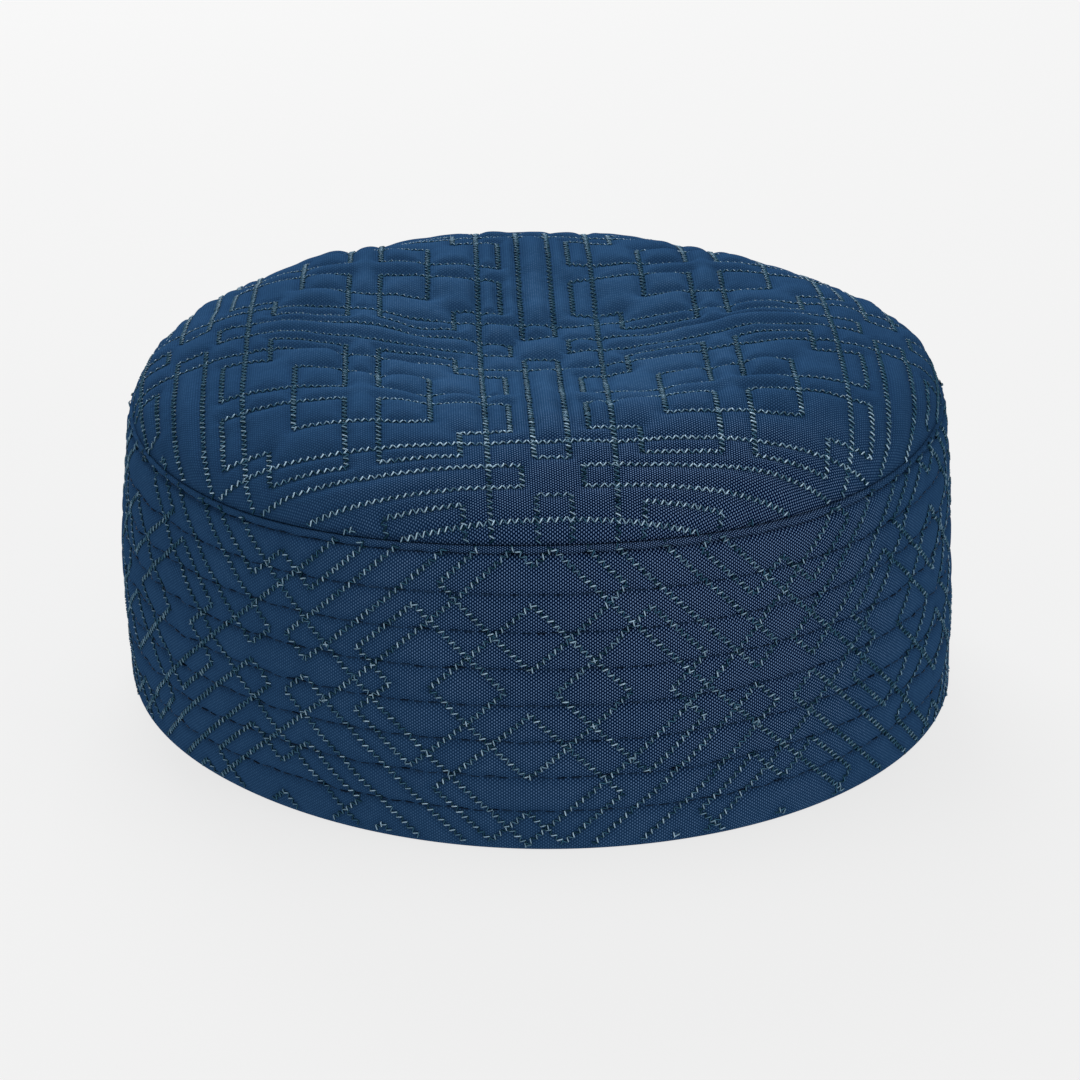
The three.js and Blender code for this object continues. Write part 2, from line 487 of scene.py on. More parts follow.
near_layer = bm.verts.layers.float.new("near")  # how far each vertex is from a stitch
uv_layer = bm.loops.layers.uv.new("cloth")
edge = [e for e in bm.edges if e.is_boundary]
for vert in {vert for e in edge for vert in e.verts}:
    vert.co.xy = seam_on_cloth(vert.co.x, vert.co.y)
for face in bm.faces:
    for loop in face.loops:
        loop[uv_layer].uv = loop.vert.co.xy
print("faces kept:", len(bm.faces), "edges at the seam:", len(edge))

# %% Raise the face, then turn the edge in and close the inside
places = np.array([vert.co[:2] for vert in bm.verts])
face_points = crown_face(places[:, 0], places[:, 1])
for vert, point, near in zip(bm.verts, face_points, stitch_distance(*places.T)):
    vert.co = point
    vert[near_layer] = near

SEAM_TUCK = [(1.1, -0.5), (1.6, -0.5)]  # millimetres inwards and up, as the edge turns in
INNER_SHARES = [0.995, 0.98, 0.955, 0.9, 0.82, 0.7, 0.55, 0.4, 0.25, 0.12]  # rings of the inside


def extrude_ring(bm, edges, place):
    """Extrudes a closed loop of edges and puts each new vertex at place(angle)."""
    made = bmesh.ops.extrude_edge_only(bm, edges=edges)["geom"]
    ring = [item for item in made if isinstance(item, bmesh.types.BMVert)]
    for vert in ring:
        vert.co = place(math.atan2(vert.co.y, vert.co.x))
    return [item for item in made if isinstance(item, bmesh.types.BMEdge) and item.is_boundary]


for inwards, up in SEAM_TUCK:
    def tucked(turn, inwards=inwards, up=up):
        seam = crown_point(np.array(turn), np.array(1.0))
        radius = math.hypot(seam[0], seam[1]) - inwards * MM
        return (radius * math.cos(turn), radius * math.sin(turn), seam[2] + up * MM)
    edge = extrude_ring(bm, edge, tucked)
for share in INNER_SHARES:
    edge = extrude_ring(
        bm, edge, lambda turn, share=share: crown_point(np.array(turn), np.array(share), WALL)
    )
last = list({vert for e in edge for vert in e.verts})
bmesh.ops.pointmerge(bm, verts=last, merge_co=(0, 0, DISH_HEIGHT - WALL))
bmesh.ops.recalc_face_normals(bm, faces=bm.faces)
crown_mesh = bpy.data.meshes.new("crown_cloth")
bm.to_mesh(crown_mesh)
bm.free()
crown = smooth_object("crown_cloth", crown_mesh)
crown_mesh.calc_loop_triangles()
print("crown:", len(crown_mesh.vertices), "vertices,", len(crown_mesh.loop_triangles), "triangles")

# %% [markdown]
# ## Band
# The band is one strip on the bias, so the fret stands on its corners there. Its section is drawn
# once, from the folded hem up the face and down the inside, and spun round the cap. The face is
# then moved out to the hand-made outline, pressed in along the rows and along the fret, and
# drawn in at the back, where the two ends of the strip are joined. The topstitch makes the deepest
# crease, and the seam turned in over it makes a low ridge.

# %% The band's cloth and its place
BAND_RADIUS = 94 * MM  # turns angles into lengths along the strip
BIAS = math.radians(43.9)
STRIP_MIDDLE = (55.1, 35.2)
STRIP_STRETCH = 1.014
STRIP_SQUASH = 0.923  # cloth stretched along its bias gets narrower
ROW_COUNT, FIRST_ROW, ROW_PITCH = 8, 9.2, 8.05
ROWS = FIRST_ROW + ROW_PITCH * np.arange(ROW_COUNT)
ROWS[-1] = 65.7  # the topstitch lies a little closer to the seam
band_ripple = ripples(seed=21, wavelength=38)
band_pucker = ripples(seed=22, wavelength=6)


def strip_place(angle, up):
    """Millimetres along the strip from the front, and up it."""
    return (np.mod(angle + TURN / 4 + TURN / 2, TURN) - TURN / 2) * BAND_RADIUS / MM, up / MM


def strip_to_fret(x, y):
    """Places on the fret, from places on the strip in millimetres."""
    cos, sin = math.cos(BIAS), math.sin(BIAS)
    x = (x - STRIP_MIDDLE[0]) / STRIP_STRETCH
    y = (y - STRIP_MIDDLE[1]) / (STRIP_STRETCH * STRIP_SQUASH)
    return x * cos + y * sin, y * cos - x * sin


def fret_to_strip(p, q):
    """Places on the strip in millimetres, from places on the fret."""
    cos, sin = math.cos(BIAS), math.sin(BIAS)
    x = STRIP_MIDDLE[0] + STRIP_STRETCH * (p * cos - q * sin)
    return x, STRIP_MIDDLE[1] + STRIP_STRETCH * STRIP_SQUASH * (p * sin + q * cos)


BAND_PUFF, BAND_SOFTNESS = 0.6 * MM, 1.8
RIB_PUFF = 0.65 * MM
RIB_ROUNDNESS, ROW_CREASE = 0.45, 0.55  # shares of the rib's height: its round part and its crease
BAND_SUNK = 0.9 * MM  # the creases lie this far under the smooth band
BAND_RIPPLE, ROW_PUCKER = 0.25, 0.3  # loose cloth, in millimetres
JOIN = math.pi * BAND_RADIUS / MM  # the strip's ends meet at the back
JOIN_GROOVE, JOIN_WIDTH = 0.9 * MM, 0.7
TOPSTITCH_GROOVE, TOPSTITCH_WIDTH = 0.6 * MM, 0.4
SEAM_RIDGE, SEAM_RIDGE_UP, SEAM_RIDGE_WIDTH = 0.3 * MM, 0.8, 0.3  # the turned seam above it
HEM_START, HEM_FADE, LIP_FADE = 0.5, 2.5, 1.2  # the relief dies away at the strip's two edges


def band_relief(x, y):
    """How far the quilted face stands out from the bare band, x along and y up the strip."""
    to_row = np.min(np.abs(y[..., None] - ROWS), axis=-1)
    slack = np.clip(1 - to_row / (ROW_PITCH / 2), 0, 1)
    rib = RIB_PUFF * (1 - RIB_ROUNDNESS * slack ** 2 - ROW_CREASE * np.exp(-to_row / 0.4))
    fret = puff(stitch_distance(*strip_to_fret(x, y)), BAND_PUFF, BAND_SOFTNESS)
    wrinkle = ROW_PUCKER * band_pucker(x, y * 0.3) * np.exp(-to_row / 1.5)
    loose = (BAND_RIPPLE * band_ripple(x, y) + wrinkle) * MM
    join = JOIN_GROOVE * np.exp(-((JOIN - np.abs(x)) / JOIN_WIDTH) ** 2)
    above = y - ROWS[-1]
    topstitch = TOPSTITCH_GROOVE * np.exp(-(above / TOPSTITCH_WIDTH) ** 2)
    turned_seam = SEAM_RIDGE * np.exp(-((above - SEAM_RIDGE_UP) / SEAM_RIDGE_WIDTH) ** 2)
    ends = smooth((y - HEM_START) / HEM_FADE) * smooth((STRIP_HEIGHT / MM - y) / LIP_FADE)
    return (rib + fret + loose - BAND_SUNK) * ends - join - topstitch + turned_seam


def band_bare(x, y):
    """The smooth band under a place on the strip."""
    return band_point(x / JOIN * math.pi - TURN / 4, y * MM)


def band_face(x, y):
    """The quilted band at a place on the strip."""
    normal = normals_of(band_bare, x, y)
    return band_bare(x, y) + normal * band_relief(x, y)[..., None]


# %% Spin the section
BAND_STEPS = 780  # columns of faces round the cap
BAND_SPACING = 0.85  # millimetres between rings of vertices, at most
CREASE = 0.35  # an extra line of vertices this far to each side of a row
INNER_HEIGHTS = [0.97, 0.8, 0.6, 0.4, 0.2, 0.04]  # shares of the strip's height
# Across and up, in millimetres: the folded hem at the rim and the turned edge at the seam
HEM = [(-2.2, 0), (-1.5, 0), (-0.9, 0), (-0.45, 0.12), (-0.12, 0.45), (0, 0.9)]
LIP = [(-0.25, 66.7), (-0.65, 67.05), (-1.15, 67.2), (-1.75, 67.25), (-2.7, 67.25)]

rungs = sorted([HEM[-1][1], *(ROWS - CREASE), *ROWS, *(ROWS + CREASE), LIP[0][1]])
heights = [rungs[0]]
for low, high in zip(rungs[:-1], rungs[1:]):
    heights.extend(np.linspace(low, high, math.ceil((high - low) / BAND_SPACING) + 1)[1:])

section = HEM[:-1] + [(0, height) for height in heights[:-1]] + LIP
section += [(-WALL / MM, share * STRIP_HEIGHT / MM) for share in INNER_HEIGHTS]

bm = bmesh.new()
chain = [bm.verts.new(((BAND_RADIUS + across * MM), 0, up * MM)) for across, up in section]
links = [bm.edges.new(pair) for pair in zip(chain, chain[1:] + chain[:1])]
bmesh.ops.spin(
    bm, geom=chain + links, cent=(0, 0, 0), axis=(0, 0, 1), dvec=(0, 0, 0), angle=TURN,
    steps=BAND_STEPS, use_merge=True, use_normal_flip=False, use_duplicate=False,
)
bmesh.ops.recalc_face_normals(bm, faces=bm.faces)
band_mesh = bpy.data.meshes.new("band_cloth")
bm.to_mesh(band_mesh)
bm.free()
print("section:", len(section), "points; ring:", len(band_mesh.vertices), "vertices")

# %% Move the ring to its place
ring = np.empty(len(band_mesh.vertices) * 3)
band_mesh.vertices.foreach_get("co", ring)
ring = ring.reshape(-1, 3)
angle = np.arctan2(ring[:, 1], ring[:, 0])
across = np.hypot(ring[:, 0], ring[:, 1]) - BAND_RADIUS
up = ring[:, 2]
along, over = strip_place(angle, up)
on_face = across > -1e-6
placed = band_point(angle, up, across)
placed[on_face] = band_face(along[on_face], over[on_face])
band_mesh.vertices.foreach_set("co", placed.ravel())

corner = np.empty(len(band_mesh.loops), int)
band_mesh.loops.foreach_get("vertex_index", corner)
corner_along = along[corner].reshape(-1, 4)
past_join = (np.ptp(corner_along, axis=1) > JOIN)[:, None] & (corner_along < 0)
corner_along = np.where(past_join, corner_along + 2 * JOIN, corner_along).ravel()
uv_map = band_mesh.uv_layers.new(name="cloth")
turned = np.where(over > ROWS[0], -across, across) / MM  # the cloth goes on over lip and hem
cloth_uv = np.stack([corner_along, (over + turned)[corner]], -1)
uv_map.uv.foreach_set("vector", cloth_uv.ravel())
to_fret = stitch_distance(*strip_to_fret(along, over))
to_row = np.min(np.abs(over[:, None] - ROWS), axis=1)
near = band_mesh.attributes.new("near", "FLOAT", "POINT")
near.data.foreach_set("value", np.minimum(to_fret, to_row))
band_mesh.update()
band = smooth_object("band_cloth", band_mesh)
print("band:", sum(len(f.vertices) - 2 for f in band_mesh.polygons), "triangles")

# %% [markdown]
# ## A stitch
# Every stitch that shows is a short length of twisted thread that comes out of the cloth, lies on
# it and dives in again. One is modelled, one millimetre thick in its own terms, as a bent
# three-sided rod: there are thousands of them, and each is about two pixels wide in a picture. The
# top of the bend is marked as the ridge, where a highlight is painted along the thread. All of the
# others are copies of it, set on the cloth by Geometry Nodes and turned into one mesh.

# %% The pattern stitch
STITCH_BEND = [(-0.5, -0.7), (-0.3, 0.45), (0.3, 0.45), (0.5, -0.7)]  # along, above the cloth
STITCH_ROD = 0.58  # radius of the rod
RIDGE_FROM = 0.9  # the ridge is what lies higher than this

bm = bmesh.new()
ridge = bm.verts.layers.float.new("ridge")
ring = bmesh.ops.create_circle(bm, segments=3, radius=STITCH_ROD, cap_ends=True)["verts"]
for vert in ring:
    vert.co = (STITCH_BEND[0][0], vert.co.x, vert.co.y + STITCH_BEND[0][1])
tip = bm.faces[:]
for (x0, z0), (x1, z1) in zip(STITCH_BEND[:-1], STITCH_BEND[1:]):
    made = bmesh.ops.extrude_face_region(bm, geom=tip)["geom"]
    moved = [item for item in made if isinstance(item, bmesh.types.BMVert)]
    bmesh.ops.translate(bm, verts=moved, vec=(x1 - x0, 0, z1 - z0))
    if x0 > STITCH_BEND[0][0]:
        bmesh.ops.delete(bm, geom=tip, context="FACES_ONLY")
    tip = [item for item in made if isinstance(item, bmesh.types.BMFace)]
for vert in bm.verts:
    vert[ridge] = vert.co.z > RIDGE_FROM
bmesh.ops.recalc_face_normals(bm, faces=bm.faces)
stitch_mesh = bpy.data.meshes.new("stitch")
bm.to_mesh(stitch_mesh)
bm.free()
stitch = smooth_object("stitch", stitch_mesh)
print("stitch:", len(stitch_mesh.polygons), "faces,", len(stitch_mesh.edges), "edges")


# %% Nodes that sew it on
def named(nodes, name, kind):
    """A node that reads one attribute of the points."""
    node = nodes.new("GeometryNodeInputNamedAttribute")
    node.data_type = kind
    node.inputs["Name"].default_value = name
    return node.outputs["Attribute"]


sewing = bpy.data.node_groups.new("sewing", "GeometryNodeTree")
sewing.interface.new_socket("Points", in_out="INPUT", socket_type="NodeSocketGeometry")
sewing.interface.new_socket("Stitches", in_out="OUTPUT", socket_type="NodeSocketGeometry")
nodes, links = sewing.nodes, sewing.links
points_in = nodes.new("NodeGroupInput").outputs["Points"]
pattern = nodes.new("GeometryNodeObjectInfo")
pattern.inputs["Object"].default_value = stitch
copies = nodes.new("GeometryNodeInstanceOnPoints")
turned = nodes.new("FunctionNodeEulerToRotation")
joined = nodes.new("GeometryNodeRealizeInstances")
points_out = nodes.new("NodeGroupOutput").inputs["Stitches"]
links.new(points_in, copies.inputs["Points"])
links.new(pattern.outputs["Geometry"], copies.inputs["Instance"])
links.new(named(nodes, "turn", "FLOAT_VECTOR"), turned.inputs["Euler"])
links.new(turned.outputs["Rotation"], copies.inputs["Rotation"])
links.new(named(nodes, "size", "FLOAT_VECTOR"), copies.inputs["Scale"])
links.new(copies.outputs["Instances"], joined.inputs["Geometry"])
links.new(joined.outputs["Geometry"], points_out)


def sew(name, start, end, above, thickness, painted_glint):
    """One mesh of stitches between pairs of points; above is the way out of the cloth there."""
    ahead = end - start
    length = np.linalg.norm(ahead, axis=1, keepdims=True)
    ahead = ahead / length
    side = np.cross(above, ahead)
    side = side / np.linalg.norm(side, axis=1, keepdims=True)
    above = np.cross(ahead, side)
    turn = np.stack([
        np.arctan2(side[:, 2], above[:, 2]),
        -np.arcsin(ahead[:, 2]),
        np.arctan2(ahead[:, 1], ahead[:, 0]),
    ], -1)
    thickness = np.broadcast_to(thickness, len(painted_glint))
    size = np.stack([length[:, 0], thickness, thickness], -1)
    mesh = bpy.data.meshes.new(name)
    mesh.from_pydata(((start + end) / 2).tolist(), [], [])
    mesh.attributes.new("turn", "FLOAT_VECTOR", "POINT").data.foreach_set("vector", turn.ravel())
    mesh.attributes.new("size", "FLOAT_VECTOR", "POINT").data.foreach_set("vector", size.ravel())
    mesh.attributes.new("painted_glint", "FLOAT", "POINT").data.foreach_set("value", painted_glint)
    points = bpy.data.objects.new(name + "_points", mesh)
    bpy.context.scene.collection.objects.link(points)
    points.modifiers.new("sewing", "NODES").node_group = sewing
    sewn = points.evaluated_get(bpy.context.evaluated_depsgraph_get())
    sewn_mesh = bpy.data.meshes.new_from_object(sewn)
    bpy.data.objects.remove(points)
    for spare in ("turn", "size"):
        if spare in sewn_mesh.attributes:
            sewn_mesh.attributes.remove(sewn_mesh.attributes[spare])
    return smooth_object(name, sewn_mesh)


# %% [markdown]
# ## Fret embroidery
# The fret is sewn in a narrow zigzag with a glossy teal thread. The legs are laid out along every
# line of the chart: each crosses the line from one side to the other and moves on by half a
# zigzag. The thread is twisted, so the legs that cross one way turn their fibres to the light and
# get a painted highlight that makes them pale, while the legs between them look dark. Near the
# middle line of the crown, the legs that run from front to back get a painted highlight as well.
# Towards the sides and the back the painted highlight fades, and the thread looks duller. Each
# stitch carries a painted glint for all that, with some chance in it.

# %% Legs along the lines of the chart
ZIGZAG = REPEAT / 48  # millimetres along the line for two legs
ZIGZAG_WIDTH = 1.4
THREAD = 0.43 * MM
THREAD_LEAST, THREAD_MORE = 0.85, 0.25  # shares of that: of a dark leg, and added for a pale one
LEG_TONE, LEG_TWIST = 0.45, 0.27  # the mean painted glint, and how far the way of crossing shifts it
MEAN_STEEPNESS = 0.53
TONE_CHANCE = 0.18
NEEDLE_CHANCE = 0.06  # millimetres


def fret_legs(reach):
    """Start and end of each leg on all repeats within reach, and which way it crosses its line."""
    whole = math.ceil(reach / REPEAT)
    starts, ends, ways = [], [], []
    for (p0, q0), (p1, q1) in QUARTER:
        line = np.array([(p0, q0), (p1, q1)])
        length = np.abs(line[1] - line[0]).sum()
        count = max(round(length / ZIGZAG * 2), 1)
        along = (line[1] - line[0]) / length
        across = np.array([-along[1], along[0]]) * ZIGZAG_WIDTH / 2
        stops = np.linspace(line[0], line[1], count + 1)
        sides = np.where(np.arange(count + 1) % 2 == 0, 1, -1)[:, None]
        needle = stops + across * sides
        for flip in ((1, 1), (-1, 1), (1, -1), (-1, -1)):
            flipped = needle * flip
            way = -sides[:-1, 0] * flip[0] * flip[1]
            for n in range(-whole, whole + 1):
                for m in range(-whole, whole + 1):
                    moved = flipped + (n * REPEAT, m * REPEAT)
                    starts.append(moved[:-1])
                    ends.append(moved[1:])
                    ways.append(way)
    return np.concatenate(starts), np.concatenate(ends), np.concatenate(ways)


def painted_leg_glints(start, end, way, by_steepness, chance):
    """A painted glint from 0, dark, to 1, pale, by the way that each leg crosses its line and how
    steep it is.
    """
    leg = end - start
    steep = leg[:, 1] ** 2 / (leg ** 2).sum(axis=1)
    painted_glint = LEG_TONE + LEG_TWIST * way + by_steepness * (steep - MEAN_STEEPNESS)
    return np.clip(painted_glint + chance.normal(0, TONE_CHANCE, len(leg)), 0, 1)


def uneven(points, chance):
    """The needle never goes in quite where it should."""
    return points + chance.normal(0, NEEDLE_CHANCE, points.shape)


def thread_widths(painted_glint):
    """The dark legs lie deeper in the cloth and show less."""
    return THREAD * (THREAD_LEAST + THREAD_MORE * painted_glint)


# %% Sew the crown's fret
SEAM_MARGIN = 0.15 * MM  # the fret stops this far from the seam
# The painted glints are strongest in front near the middle line, and painted duller towards the
# sides and the back.
MIDDLE_HALF, SIDE_FADE = 25, 40  # millimetres from the middle line, then on to the full side
FRONT_START, FRONT_FADE = 32, 40  # millimetres forwards, where the painted bright front begins and is full
SIDE_FRONT_START, SIDE_FRONT_FADE = 35, 30  # and the same at the sides, which are duller still
STEEP_SHINE = 0.9
DULL_LOSS, DULL_LEAST, SIDE_LOSS = 0.85, 0.12, 0.4  # of the painted glint
DULL_THINNER = 0.15  # a dull stitch is sunk in the wadding by this share

start, end, way = fret_legs(CLOTH_REACH)
middle = (start + end) / 2
near = np.hypot(middle[:, 0], middle[:, 1]) < CLOTH_REACH
start, end, way, middle = (item[near] for item in (start, end, way, middle))
share = crown_share(*crown_place(middle[:, 0], middle[:, 1]))
kept = (1 - share) * COMPASS["seam"].mean() > SEAM_MARGIN
start, end, way, middle = (item[kept] for item in (start, end, way, middle))
above = normals_of(crown_bare, middle[:, 0], middle[:, 1])
chance = np.random.default_rng(31)
aside = np.maximum(np.abs(middle[:, 0]) - MIDDLE_HALF, 0)
dull = 1 - smooth((0.5 * aside - middle[:, 1] - FRONT_START) / FRONT_FADE)
side = smooth(aside / SIDE_FADE)
by_steepness = STEEP_SHINE * (1 - side)
painted_glint = painted_leg_glints(start, end, way, by_steepness, chance)
at_side = side * (1 - smooth((-middle[:, 1] - SIDE_FRONT_START) / SIDE_FRONT_FADE))
painted_glint *= (1 - DULL_LOSS * dull) * (1 - SIDE_LOSS * at_side)
painted_glint += DULL_LEAST * dull
crown_fret = sew(
    "crown_fret", crown_face(*uneven(start, chance).T), crown_face(*uneven(end, chance).T),
    above, thread_widths(painted_glint) * (1 - DULL_THINNER * dull), painted_glint,
)
print("crown legs:", len(painted_glint), "triangles:", len(crown_fret.data.loop_triangles))

# %% Sew the band's fret
JOIN_MARGIN = 1.2  # the fret stops this far from the join
LOWEST, HIGHEST = 1.3, 66.9  # and at these heights on the strip
# The band's painted glints fade from its front to its sides.
BAND_FRONT_HALF, BAND_SIDE_FADE = 25, 60  # millimetres from the front, then on to the full side
BAND_TONE, BAND_LOSS = 0.9, 0.35

start, end, way = fret_legs(JOIN + 40)
middle_x, middle_y = fret_to_strip(*((start + end) / 2).T)
kept = (np.abs(middle_x) < JOIN - JOIN_MARGIN) & (middle_y > LOWEST) & (middle_y < HIGHEST)
above = normals_of(band_bare, middle_x[kept], middle_y[kept])
chance = np.random.default_rng(32)
start, end = (
    np.stack(fret_to_strip(*uneven(points[kept], chance).T), -1) for points in (start, end)
)
dull = smooth((np.abs(middle_x[kept]) - BAND_FRONT_HALF) / BAND_SIDE_FADE)
painted_glint = painted_leg_glints(start, end, way[kept], 0.0, chance) * (BAND_TONE - BAND_LOSS * dull)
band_fret = sew(
    "band_fret", band_face(*start.T), band_face(*end.T), above, thread_widths(painted_glint), painted_glint,
)
print("band legs:", len(painted_glint), "triangles:", len(band_fret.data.loop_triangles))

# %% [markdown]
# ## Rows of stitching
# Eight plain rows run round the band in a thread of the cloth's own navy. They were sewn after the
# embroidery and cross over it. The topmost is the topstitch that holds the turned seam down.

# %% Sew the rows
ROW_STITCH = 3.0
ROW_SHOWN = 2.3  # the part of each stitch that lies on the face
ROW_THREAD = 0.32 * MM
ROW_CHANCE = 0.05  # millimetres by which a stitch lies above or below its row

count = round(2 * JOIN / ROW_STITCH)
row_x, row_y = np.meshgrid((np.arange(count) + 0.5) / count * 2 * JOIN - JOIN, ROWS)
chance = np.random.default_rng(41)
row_x = (row_x + chance.uniform(0, ROW_STITCH, (ROW_COUNT, 1))).ravel()
row_x = np.mod(row_x + JOIN, 2 * JOIN) - JOIN
row_y = row_y.ravel() + chance.normal(0, ROW_CHANCE, row_x.size)
row_above = normals_of(band_bare, row_x, row_y)
# Each row stitch gets a random painted glint.
band_rows = sew(
    "band_rows", band_face(row_x - ROW_SHOWN / 2, row_y), band_face(row_x + ROW_SHOWN / 2, row_y),
    row_above, ROW_THREAD, chance.uniform(0, 1, row_x.size),
)
bpy.data.objects.remove(stitch)
print("row stitches:", row_x.size)

# %% [markdown]
# ## Cloth
# The cloth is a close weave of shiny navy yarn. Seen close, each place where a yarn crosses on top
# shows as a small greyish-blue dot, a painted highlight, and the hollows between them carry a
# painted shade that is nearly black. The dots sit like the cells of a honeycomb, which two cosines
# make between them, and the pattern is laid along the cloth with the UV map that the panels carry
# in millimetres. The same pattern raises a fine bump. The painted highlights and shade of the weave
# are strongest around one place in front, to the right, and melt into an even navy away from there.
# A painted sheen makes the middle of the crown a little lighter than its edge, and larger random
# patches of painted sheen lie over the uneven yarn. A painted shade darkens the cloth along its
# stitches.

# %% Weave
WARP = 0.503  # millimetres from one row of dots to the next, along the cloth
WEFT = 0.366  # and across it
PAINTED_GLINT_MIDDLE = (0.04, -0.09, 0.06)  # the place where the weave's painted highlights and shade are strongest
PAINTED_GLINT_SCALE = (1, 1.8, 1.3)  # it is lost sooner towards the back and the rim than to the sides
PAINTED_GLINT_REACH = (0, 0.13)  # metres from that place over which it is lost
PAINTED_GLINT_FALL = 2.6  # the higher, the sooner it is lost
PAINTED_GLINT_SWING = 2.6  # how far the painted light swings there, from painted shade in the hollows to painted highlights on the yarn tops
FAINT = 0.22  # and how far everywhere
WEAVE_LEVEL = 0.17  # the height of the weave that leaves the colour as it is
PAINTED_SHEEN_RADII = (35 * MM, 70 * MM)  # the painted sheen that lightens the crown's middle ends between these
YARN_AND_SHEEN_PATCHES = [(0.9, 0.35), (0.06, 0.25)]  # the yarn is uneven, and larger patches carry a painted sheen: scale and strength
STITCH_REACH = 2.2  # millimetres from a stitch over which the cloth wrinkles and takes a painted shade
PAINTED_STITCH_SHADE = 0.15
CLOTH_ROUGHNESS = 0.42
NAVY_WITH_PAINTED_GLINTS = [  # the cloth's navy, from the painted shade of the hollows to the painted highlights of the yarn tops
    (0.0, (0.0, 0.002, 0.018, 1)),
    (0.5, (0.0205, 0.064, 0.148, 1)),
    (0.65, (0.032, 0.088, 0.182, 1)),
    (1.0, (0.15, 0.235, 0.4, 1)),
]
WEAVE_HEIGHT = 0.02  # millimetres
WRINKLE_HEIGHT = 0.5
WRINKLE_SCALE = 0.7


def blend(tree, value, stops):
    """A colour from a list of stops, by the output of another node."""
    node = tree.nodes.new("ShaderNodeValToRGB")
    for place, colour in stops[1:-1]:
        node.color_ramp.elements.new(place)
    for element, (place, colour) in zip(node.color_ramp.elements, stops):
        element.position = place
        element.color = colour
    tree.links.new(value, node.inputs["Fac"])
    return node.outputs["Color"]


def unevenness(tree, place, scale, detail):
    """Soft noise from about -0.5 to 0.5, in steps of about 1 / scale millimetres."""
    node = tree.nodes.new("ShaderNodeTexNoise")
    node.inputs["Scale"].default_value = scale
    node.inputs["Detail"].default_value = detail
    tree.links.new(place, node.inputs["Vector"])
    return maths(tree, "SUBTRACT", node.outputs["Fac"], 0.5)


def from_place(tree, middle, scale):
    """How far each point of the cap is from one place, with each axis scaled."""
    apart = vector_maths(tree, "SUBTRACT", object_place(tree), middle)["Vector"]
    scaled = vector_maths(tree, "MULTIPLY", apart, scale)["Vector"]
    return vector_maths(tree, "DISTANCE", scaled, (0, 0, 0))["Value"]


def woven_cloth(name, base):
    """Woven navy cloth, puckered along its stitches, with a painted shade there.

    base lists where on the scale of navies the cloth lies in the cap's middle and at its edge; a
    middle set higher than the edge is a painted sheen."""
    material = bpy.data.materials.new(name)
    material.use_nodes = True
    tree = material.node_tree
    look = tree.nodes["Principled BSDF"].inputs
    look["Roughness"].default_value = CLOTH_ROUGHNESS
    look["Specular IOR Level"].default_value = 0

    uv = tree.nodes.new("ShaderNodeUVMap")
    uv.uv_map = "cloth"
    cloth = uv.outputs["UV"]
    apart = tree.nodes.new("ShaderNodeSeparateXYZ")
    tree.links.new(cloth, apart.inputs["Vector"])
    warp = maths(tree, "COSINE", maths(tree, "MULTIPLY", apart.outputs["X"], math.pi / WARP))
    weft = maths(tree, "COSINE", maths(tree, "MULTIPLY", apart.outputs["Y"], math.pi / WEFT))
    weave = maths(tree, "MULTIPLY", warp, maths(tree, "ADD", warp, weft))
    # From -0.5 in the hollows to 1 on the yarn tops
    weave = maths(tree, "SUBTRACT", maths(tree, "DIVIDE", weave, 1.5), 1 / 3)

    near = tree.nodes.new("ShaderNodeAttribute")
    near.attribute_name = "near"
    from_stitch = maths(tree, "DIVIDE", near.outputs["Fac"], STITCH_REACH)
    closeness = maths(tree, "MAXIMUM", maths(tree, "SUBTRACT", 1.0, from_stitch), 0.0)

    # The weave's painted highlights and shade swing most near one place in front, to the right.
    way = from_place(tree, PAINTED_GLINT_MIDDLE, PAINTED_GLINT_SCALE)
    left = map_range(tree, way, PAINTED_GLINT_REACH, (1, 0), "LINEAR")
    painted_glints = maths(tree, "MULTIPLY", maths(tree, "POWER", left, PAINTED_GLINT_FALL), PAINTED_GLINT_SWING)
    painted_glints = maths(tree, "ADD", painted_glints, FAINT)
    radius = from_place(tree, (0, 0, 0), (1, 1, 0))
    even = map_range(tree, radius, PAINTED_SHEEN_RADII, base)
    dots = maths(tree, "MULTIPLY", maths(tree, "SUBTRACT", weave, WEAVE_LEVEL), painted_glints)
    lit = maths(tree, "ADD", dots, even)
    for scale, strength in YARN_AND_SHEEN_PATCHES:
        patches = maths(tree, "MULTIPLY", unevenness(tree, cloth, scale, 4), strength)
        lit = maths(tree, "MULTIPLY", lit, maths(tree, "ADD", patches, 1.0))
    # A painted shade darkens the cloth near its stitches, where the wadding dips.
    painted_shade = maths(tree, "SUBTRACT", 1.0, maths(tree, "MULTIPLY", closeness, PAINTED_STITCH_SHADE))
    tree.links.new(blend(tree, maths(tree, "MULTIPLY", lit, painted_shade), NAVY_WITH_PAINTED_GLINTS), look["Base Color"])

    wrinkles = unevenness(tree, cloth, WRINKLE_SCALE, 2)
    wrinkles = maths(tree, "MULTIPLY", wrinkles, WRINKLE_HEIGHT)
    height = maths(tree, "MULTIPLY", wrinkles, closeness)
    height = maths(tree, "ADD", height, maths(tree, "MULTIPLY", weave, WEAVE_HEIGHT))
    bump = tree.nodes.new("ShaderNodeBump")
    bump.inputs["Distance"].default_value = MM
    tree.links.new(height, bump.inputs["Height"])
    tree.links.new(bump.outputs["Normal"], look["Normal"])
    return material


# The crown's middle lies higher on the scale than its edge: a painted sheen.
crown.data.materials.append(woven_cloth("navy_cloth_crown", base=(0.575, 0.47)))
band.data.materials.append(woven_cloth("navy_cloth_band", base=(0.5, 0.5)))
print("cloth:", [m.name for m in bpy.data.materials])
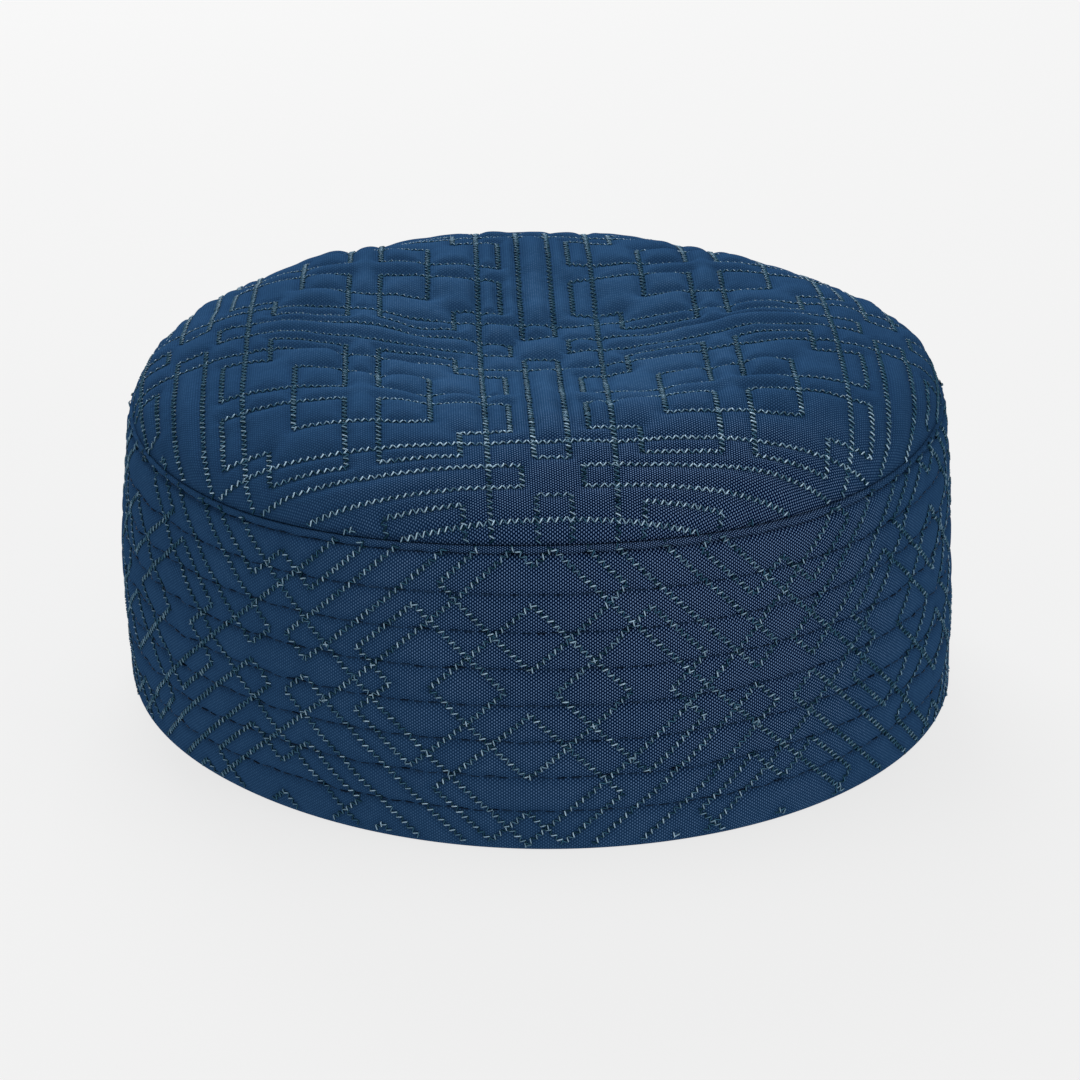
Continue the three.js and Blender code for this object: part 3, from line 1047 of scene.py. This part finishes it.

# %% [markdown]
# ## Thread
# The embroidery thread is a dark, glossy teal, and a pale streak along its ridge is painted on as a
# highlight: the painted glint that each stitch carries says how pale. The rows are sewn in navy,
# and their thread shows only as small painted glints.

# %% Threads
# The thread's own dark teal, up to the pale of its painted highlight
TEAL_WITH_PAINTED_GLINT = [
    (0.0, (0.006, 0.036, 0.06, 1)),
    (0.3, (0.036, 0.12, 0.2, 1)),
    (1.0, (0.5, 0.7, 0.86, 1)),
]
# The navy of the row thread, up to its painted glint
ROW_NAVY_WITH_PAINTED_GLINT = [(0.0, (0.002, 0.008, 0.022, 1)), (1.0, (0.02, 0.055, 0.12, 1))]
THREAD_ROUGHNESS = 0.45
PAINTED_STREAK = (0.1, 0.65)  # how much of the way up to the ridge the painted highlight leaves dark, and from where it is pale


def sewing_thread(name, stops):
    """Glossy thread with a painted highlight: a pale streak along its ridge, by the painted glint
    of each stitch.
    """
    material = bpy.data.materials.new(name)
    material.use_nodes = True
    tree = material.node_tree
    look = tree.nodes["Principled BSDF"].inputs
    look["Roughness"].default_value = THREAD_ROUGHNESS
    look["Metallic"].default_value = 0.2  # the shine of the fibre has the fibre's own colour
    look["Specular IOR Level"].default_value = 0.1
    painted_glint = tree.nodes.new("ShaderNodeAttribute")
    painted_glint.attribute_name = "painted_glint"
    ridge = tree.nodes.new("ShaderNodeAttribute")
    ridge.attribute_name = "ridge"
    painted_streak = map_range(tree, ridge.outputs["Fac"], PAINTED_STREAK, (0.0, 1.0))
    paleness = maths(tree, "MULTIPLY", painted_glint.outputs["Fac"], painted_streak)
    tree.links.new(blend(tree, paleness, stops), look["Base Color"])
    return material


fret_thread = sewing_thread("teal_thread", TEAL_WITH_PAINTED_GLINT)
row_thread = sewing_thread("navy_thread", ROW_NAVY_WITH_PAINTED_GLINT)
for piece in (crown_fret, band_fret, band_rows):
    thread = row_thread if piece == band_rows else fret_thread
    piece.data.materials.clear()
    piece.data.materials.append(thread)
print("threads:", fret_thread.name, row_thread.name)

# %% [markdown]
# ## Hand over
# Every piece rides on the frame's one body. The two panels take the place of the frame's own,
# and the stitches stand on them.

# %% Pieces
for piece in (crown, band, crown_fret, band_fret, band_rows):
    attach(piece, "root")
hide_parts("crown")
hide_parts("band")
